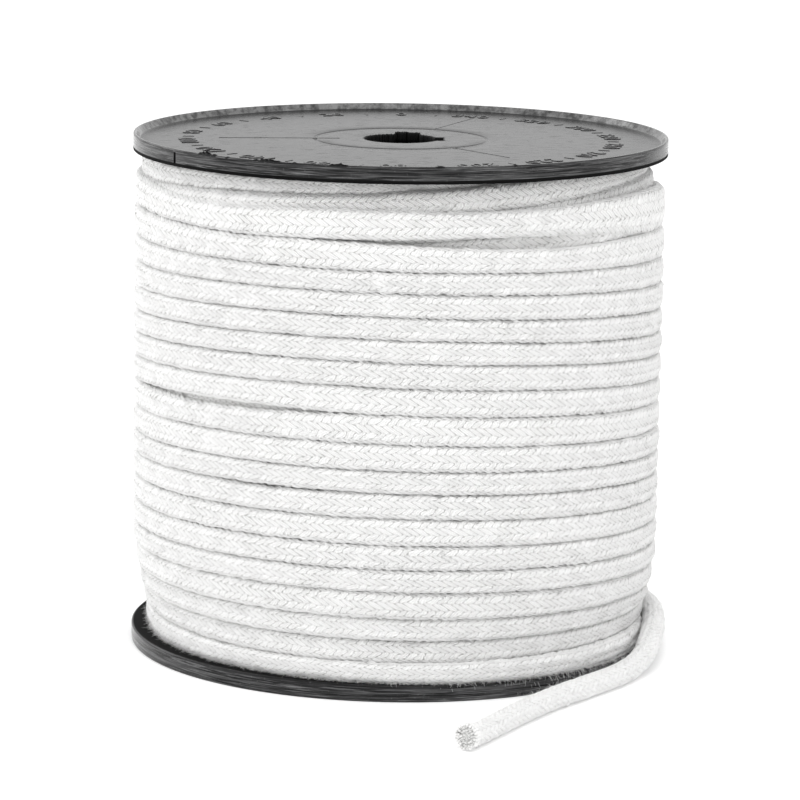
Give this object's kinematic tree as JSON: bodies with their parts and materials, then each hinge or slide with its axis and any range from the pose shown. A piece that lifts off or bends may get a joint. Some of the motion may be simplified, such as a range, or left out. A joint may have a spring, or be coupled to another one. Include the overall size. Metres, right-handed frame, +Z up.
{
  "type": "reel of braided cord",
  "caption": "Flanged plastic reel wound full of white braided cotton cord, standing on one flange, with the free cut end of the cord lying on the table in front.",
  "frame": {"origin": "the middle of the lower flange's outer face, on the reel's axis, at the surface that the reel stands on", "axes": "+Z up along the reel's axis, -Y to the front where the free end lies, +X to the right"},
  "size_m": [0.1374, 0.1786, 0.1308],
  "materials": {
    "reel_plastic": "dull dark grey moulded plastic with a slight sheen, scuffed at the rims",
    "cord_cotton": "white braided cotton, matt, with a fine diamond braid"
  },
  "bodies": {
    "root": {"flange_top": "reel_plastic", "flange_bottom": "reel_plastic", "barrel": "reel_plastic", "winding": "cord_cotton", "loose_end": "cord_cotton"}
  },
  "joints": []
}
